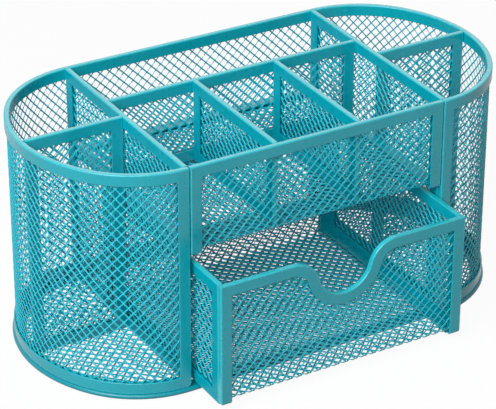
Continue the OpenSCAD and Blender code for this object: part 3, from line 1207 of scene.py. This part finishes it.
@dataclass(frozen=True)
class Drawer:
    """The drawer: a notched front whose sheet bends under to make the floor, and three sides.

    floor_web is the metal left outside the slot of a floor strip, and side_gap how far the
    sheet behind the front stays in from the floor strips' outer edges.
    """

    strip: StripSizes = StripSizes()
    bend: float = 1.6
    notch_wide: float = 49.2
    notch_deep: float = 19.3
    end_round: float = 1.2
    corner: float = 1.5
    shoulder_steps: int = 14
    bowl_steps: int = 26
    floor_web: float = 0.7
    side_gap: float = 0.5

    @property
    def turn(self) -> float:
        """Angle through which each arc of the notch turns."""
        return 2 * math.atan2(self.notch_deep, self.notch_wide / 2)

    @property
    def radius(self) -> float:
        """Radius of the notch's four arcs."""
        return self.notch_wide / 4 / math.sin(self.turn)

    def top_path(self, path: StripPath, w: float, h: float) -> StripPath:
        """Adds the notched top edge from right to left.

        Args:
            path: path to add to.
            w: width of the front.
            h: height of the front.

        Returns:
            The path itself.
        """
        a, r, c, half = self.turn, self.radius, w / 2, self.notch_wide / 2
        bowl = (c, h - self.notch_deep + r)
        path.arc((c + half, h - r), r, QUARTER, QUARTER + a, self.shoulder_steps)
        path.arc(bowl, r, -QUARTER + a, -QUARTER - a, self.bowl_steps)
        path.arc((c - half, h - r), r, QUARTER - a, QUARTER, self.shoulder_steps)
        return path

    def window_top(self, h: float) -> np.ndarray:
        """Inner edge of the notched strip, from right to left, about the middle."""
        wide = self.strip.wide
        stations = self.top_path(StripPath(wide), 0.0, h).stations
        return np.array([np.add(s.at, np.multiply(s.inward, wide)) for s in stations])

    def build(self, shop: Workshop) -> None:
        """Builds the front, the floor and the bent sheet, then the three sides.

        Args:
            shop: makes the pieces.
        """
        front = Room.of("drawer_front_frame")
        floor = Room.of("drawer_floor_right_strip")
        w, h = front.length(0), front.length(2)
        path = StripPath(self.strip.wide)
        path.edge(w, 0, (-1, 0)).edge(w, h, (-1, -1))
        self.top_path(path, w, h)
        path.edge(0, h, (1, -1)).edge(0, 0, (1, 0)).open_ends(self.end_round, self.corner)
        plane = FlatSurface.in_room(front, Facing.FRONT)
        node = ["drawer_front_frame"]
        shop.strip("drawer_front_strip", self.strip, path, plane, Body.DRAWER, node)

        back = Room.of("drawer_back_frame")
        path = StripPath(self.strip.wide).arch(back.length(0), back.length(2))
        path.open_ends(self.end_round, self.corner)
        plane = FlatSurface.in_room(back, Facing.FRONT)
        node = ["drawer_back_frame"]
        shop.strip("drawer_back_strip", self.strip, path, plane, Body.DRAWER, node)
        for side in ("left", "right"):
            self.build_floor_strip(shop, side)
        self.build_sheet(shop, front, floor, back)
        for side in ("left", "right"):
            Panel(f"drawer_{side}", Facing.SIDE, Body.DRAWER).build(shop)

    def build_floor_strip(self, shop: Workshop, side: str) -> None:
        """Builds one of the two strips along the floor.

        Args:
            shop: makes the pieces.
            side: left or right.
        """
        node = f"drawer_floor_{side}_strip"
        room = Room.of(node)
        w, d = room.length(0), room.length(1)
        strip = replace(self.strip, wide=w, slot_deep=w - self.floor_web)
        path = StripPath(w)
        if side == "left":
            path.edge(0, d, (1, 0)).edge(0, 0, (1, 0))
        else:
            path.edge(w, 0, (-1, 0)).edge(w, d, (-1, 0))
        plane = FlatSurface.in_room(room, Facing.LEVEL)
        shop.strip(node.replace("_strip", "_edge"), strip, path, plane, Body.DRAWER, [node])

    def build_sheet(self, shop: Workshop, front: Room, floor: Room, back: Room) -> None:
        """Builds the one sheet of the front, the floor and the back.

        Args:
            shop: makes the pieces.
            front: space of the front strip.
            floor: space of the right floor strip.
            back: space of the back strip.
        """
        wide = self.strip.wide
        surface = BentSurface(front.middle(1), floor.middle(2), self.bend, back.middle(1))
        knee, heel = surface.bend_end, surface.level_end
        right, low, rear = front.hi[0] - wide, floor.lo[0], back.hi[0] - wide
        end, rim = surface.risen(back.hi[2] - wide), front.hi[2] - wide
        top = self.window_top(front.length(2)) + [0, front.lo[2]]
        half = [(rear, end), (rear, heel), (low, heel), (low, knee), (right, knee), (right, rim)]
        other = [(-u, v) for u, v in reversed(half)]
        window = np.array([*half, *top, *other])
        stop = floor.hi[0] - self.side_gap

        def trim(flat: np.ndarray) -> np.ndarray:
            """Keeps the sheet behind the front between the sides."""
            u = np.where(flat[:, 1] < knee, np.clip(flat[:, 0], -stop, stop), flat[:, 0])
            return np.stack([u, flat[:, 1]], axis=1)

        sheet = DiamondSheet(UPRIGHT_WIRE, knee)
        points, quads = sheet.weave(window, surface, (0.0, front.hi[2]), trim)
        nodes = ["drawer_front_mesh", "drawer_floor_mesh", "drawer_back_mesh"]
        shop.piece("drawer_wire", points, quads, WIRE_LIT_COAT, Body.DRAWER, nodes)


@dataclass(frozen=True)
class Dividers:
    """The cross walls, and the dividers of the pockets, the slot and the trays."""

    def build(self, shop: Workshop) -> None:
        """Builds every divider.

        Args:
            shop: makes the pieces.
        """
        for facing, names in (
            (Facing.SIDE, ("left_cross", "right_cross")),
            (Facing.FRONT, ("left_pocket", "right_pocket", "slot_divider")),
            (Facing.SIDE, ("tray_divider_1", "tray_divider_2")),
        ):
            for name in names:
                Panel(name, facing).build(shop)


# ---- studio ----


@dataclass(frozen=True)
class View:
    """Where the camera stands, in millimetres and degrees, and what it sees, in metres."""

    azimuth: float = -30.11
    elevation: float = 28.49
    roll: float = 0.14
    distance: float = 1040.2
    target: Triple = (-2.08, 10.75, 46.17)
    lens: float = 174.5
    sensor: float = 36.0
    nearest: float = 0.05
    farthest: float = 30.0

    def build(self) -> None:
        """Makes the camera and sets it as the scene's."""
        a, e = math.radians(self.azimuth), math.radians(self.elevation)
        look = Vector((-math.sin(a) * math.cos(e), math.cos(a) * math.cos(e), -math.sin(e)))
        data = bpy.data.cameras.new("camera")
        data.sensor_width = self.sensor
        data.lens = self.lens
        data.clip_start, data.clip_end = self.nearest, self.farthest
        camera = bpy.data.objects.new("camera", data)
        camera.location = (Vector(self.target) - look * self.distance) * MM
        turn = look.to_track_quat("-Z", "Y").to_matrix().to_4x4()
        roll = Matrix.Rotation(math.radians(self.roll), 4, "Z")
        camera.rotation_euler = (turn @ roll).to_euler()
        bpy.context.scene.collection.objects.link(camera)
        bpy.context.scene.camera = camera


@dataclass(frozen=True)
class Softbox:
    """A soft square lamp, in metres and watts."""

    name: str
    place: Triple
    size: float
    power: float
    aim: Triple = (0, 0.01, 0.05)

    def build(self) -> None:
        """Makes the lamp."""
        data = bpy.data.lights.new(self.name, "AREA")
        data.shape = "SQUARE"
        data.size = self.size
        data.energy = self.power
        lamp = bpy.data.objects.new(self.name, data)
        lamp.location = self.place
        way = Vector(self.aim) - Vector(self.place)
        lamp.rotation_euler = way.to_track_quat("-Z", "Y").to_euler()
        bpy.context.scene.collection.objects.link(lamp)


@dataclass(frozen=True)
class Studio:
    """White floor and sky, and the lamps, in metres and watts.

    The sky lights the part weakly, and the floor throws little light back on it, but both show
    white. floor_glow is the share of white that the floor shows over its own shading.
    """

    sky: float = 0.08
    paper: float = 0.2
    paper_shown: float = 0.9
    floor_half: float = 6.0
    floor_drop: float = 0.0002
    floor_glow: float = 0.94
    lamps: tuple[Softbox, ...] = (
        Softbox("key_box", (-0.83, -0.76, 1.0), 1.15, 19.0),
        Softbox("left_box", (-1.1, -0.3, 1.03), 0.8, 9.5),
        Softbox("front_box", (-0.39, -1.12, 1.01), 0.6, 1.0),
        Softbox("back_box", (0.75, 1.25, 0.9), 0.9, 3.0),
    )

    def build(self) -> None:
        """Makes the floor, the sky and the lamps."""
        self._sky()
        self._floor()
        for lamp in self.lamps:
            lamp.build()
        bpy.context.scene.view_settings.view_transform = "Standard"

    def _sky(self) -> None:
        """Plain sky: it lights evenly, and shows white to the camera and in reflections."""
        world = bpy.data.worlds.new("sky")
        bpy.context.scene.world = world
        world.use_nodes = True
        tree = world.node_tree
        tree.nodes.clear()
        lit = add_node(tree, "ShaderNodeBackground", Color=WHITE, Strength=self.sky)
        seen = add_node(tree, "ShaderNodeBackground", Color=WHITE, Strength=1.0)
        mix = mix_shaders(tree, self._shown(tree), lit, seen)
        add_node(tree, "ShaderNodeOutputWorld", Surface=mix)

    @staticmethod
    def _shown(tree: bpy.types.NodeTree) -> bpy.types.NodeSocket:
        """Adds a socket that is 1 for camera, glossy and transmission rays."""
        path = tree.nodes.new("ShaderNodeLightPath")
        shown = path.outputs["Is Camera Ray"]
        for kind in ("Is Glossy Ray", "Is Transmission Ray"):
            either = tree.nodes.new("ShaderNodeMath")
            either.operation = "MAXIMUM"
            tree.links.new(shown, either.inputs[0])
            tree.links.new(path.outputs[kind], either.inputs[1])
            shown = either.outputs["Value"]
        return shown

    def _floor(self) -> None:
        """White floor that keeps a soft shadow."""
        h = self.floor_half
        mesh = bpy.data.meshes.new("floor")
        mesh.from_pydata([(-h, -h, 0), (h, -h, 0), (h, h, 0), (-h, h, 0)], [], [(0, 1, 2, 3)])
        floor = bpy.data.objects.new("floor", mesh)
        floor.location.z = -self.floor_drop
        bpy.context.scene.collection.objects.link(floor)
        mat = bpy.data.materials.new("white_paper")
        mat.use_nodes = True
        tree = mat.node_tree
        tree.nodes.clear()
        shown = self._shown(tree)
        dark, pale = (*[self.paper] * 3, 1), (*[self.paper_shown] * 3, 1)
        tone = add_node(tree, "ShaderNodeMixRGB", Fac=shown, Color1=dark, Color2=pale)
        paper = add_node(tree, "ShaderNodeBsdfDiffuse", Color=tone.outputs["Color"])
        glow = add_node(tree, "ShaderNodeEmission", Color=WHITE, Strength=1.0)
        share = tree.nodes.new("ShaderNodeMath")
        share.operation = "MULTIPLY"
        share.inputs[1].default_value = self.floor_glow
        tree.links.new(shown, share.inputs[0])
        mix = mix_shaders(tree, share.outputs["Value"], paper, glow)
        add_node(tree, "ShaderNodeOutputMaterial", Surface=mix)
        mesh.materials.append(mat)


def main() -> None:
    """Builds the stand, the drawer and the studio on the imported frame."""
    logging.basicConfig(level=logging.INFO, format="%(message)s", stream=sys.stdout)
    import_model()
    View().build()
    shop = Workshop()
    plan = WallPlan()
    Base(plan).build(shop)
    OuterWall(plan).build(shop)
    Dividers().build(shop)
    TrayDeck().build(shop)
    Drawer().build(shop)
    Studio().build()


if __name__ == "__main__":
    main()
